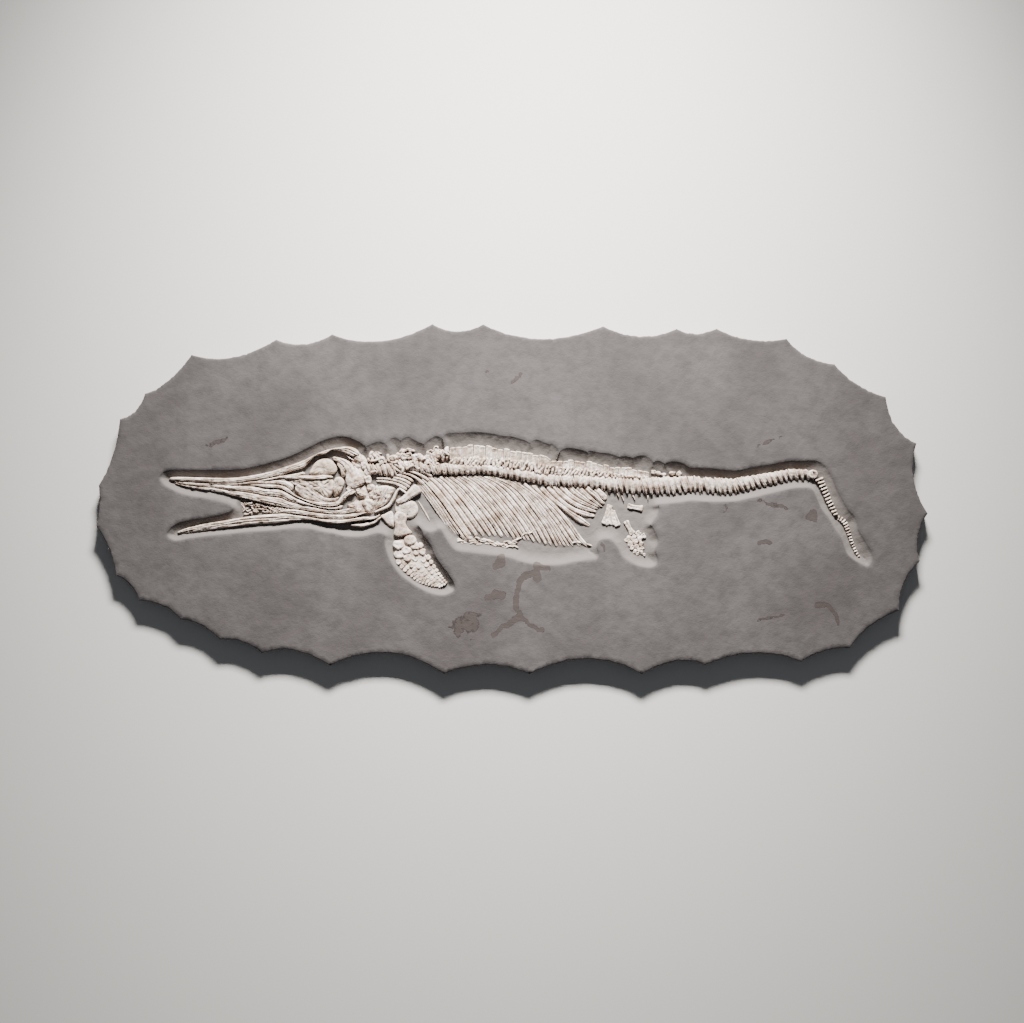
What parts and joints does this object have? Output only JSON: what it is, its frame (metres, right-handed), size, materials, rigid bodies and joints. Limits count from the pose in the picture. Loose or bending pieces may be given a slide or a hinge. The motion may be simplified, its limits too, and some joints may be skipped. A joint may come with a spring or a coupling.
{
  "type": "fossil ichthyosaur skeleton slab",
  "caption": "Complete fossil marine reptile skeleton, seen from the side, lying in a carved hollow in a flat stone slab with a scalloped edge.",
  "frame": {"origin": "middle of the slab's outline, on the flat back that it lies on", "axes": "+X from the snout to the tail, +Y from the belly to the back, +Z out of the carved face"},
  "size_m": [2.08, 0.876, 0.04],
  "materials": {
    "slab_stone": "matt grey bituminous limestone, scraped flat",
    "fossil_bone": "matt cream fossil bone with grooves and cracks",
    "eye_bone": "matt crushed bone plates, slightly darker"
  },
  "bodies": {
    "root": {"slab": "slab_stone", "eye_ring": "eye_bone", "skull": "fossil_bone", "jaw_fragments": "fossil_bone", "lower_jaw": "fossil_bone", "neck_vertebrae": "fossil_bone", "back_vertebrae_front": "fossil_bone", "back_vertebrae_rear": "fossil_bone", "tail_vertebrae": "fossil_bone", "neural_spines_front": "fossil_bone", "neural_spines_rear": "fossil_bone", "tail_bend_vertebrae": "fossil_bone", "tail_fluke_vertebrae": "fossil_bone", "rib_01": "fossil_bone", "rib_02": "fossil_bone", "rib_03": "fossil_bone", "rib_04": "fossil_bone", "rib_05": "fossil_bone", "rib_06": "fossil_bone", "rib_07": "fossil_bone", "rib_08": "fossil_bone", "rib_09": "fossil_bone", "rib_10": "fossil_bone", "rib_11": "fossil_bone", "rib_12": "fossil_bone", "rib_13": "fossil_bone", "rib_14": "fossil_bone", "rib_15": "fossil_bone", "rib_16": "fossil_bone", "rib_17": "fossil_bone", "rib_18": "fossil_bone", "rib_19": "fossil_bone", "rib_20": "fossil_bone", "rib_21": "fossil_bone", "rib_22": "fossil_bone", "rib_23": "fossil_bone", "rib_24": "fossil_bone", "rib_25": "fossil_bone", "rib_26": "fossil_bone", "rib_27": "fossil_bone", "rib_28": "fossil_bone", "rib_29": "fossil_bone", "rib_30": "fossil_bone", "rib_31": "fossil_bone", "rib_32": "fossil_bone", "rib_33": "fossil_bone", "scapula": "fossil_bone", "clavicle": "fossil_bone", "ilium": "fossil_bone", "ischium": "fossil_bone", "pubis": "fossil_bone", "femur": "fossil_bone", "gastralia": "fossil_bone", "coracoid_near": "fossil_bone", "coracoid_far": "fossil_bone", "humerus": "fossil_bone", "radius": "fossil_bone", "ulna": "fossil_bone", "fore_fin_digits": "fossil_bone", "hind_fin_digits": "fossil_bone"}
  },
  "joints": []
}
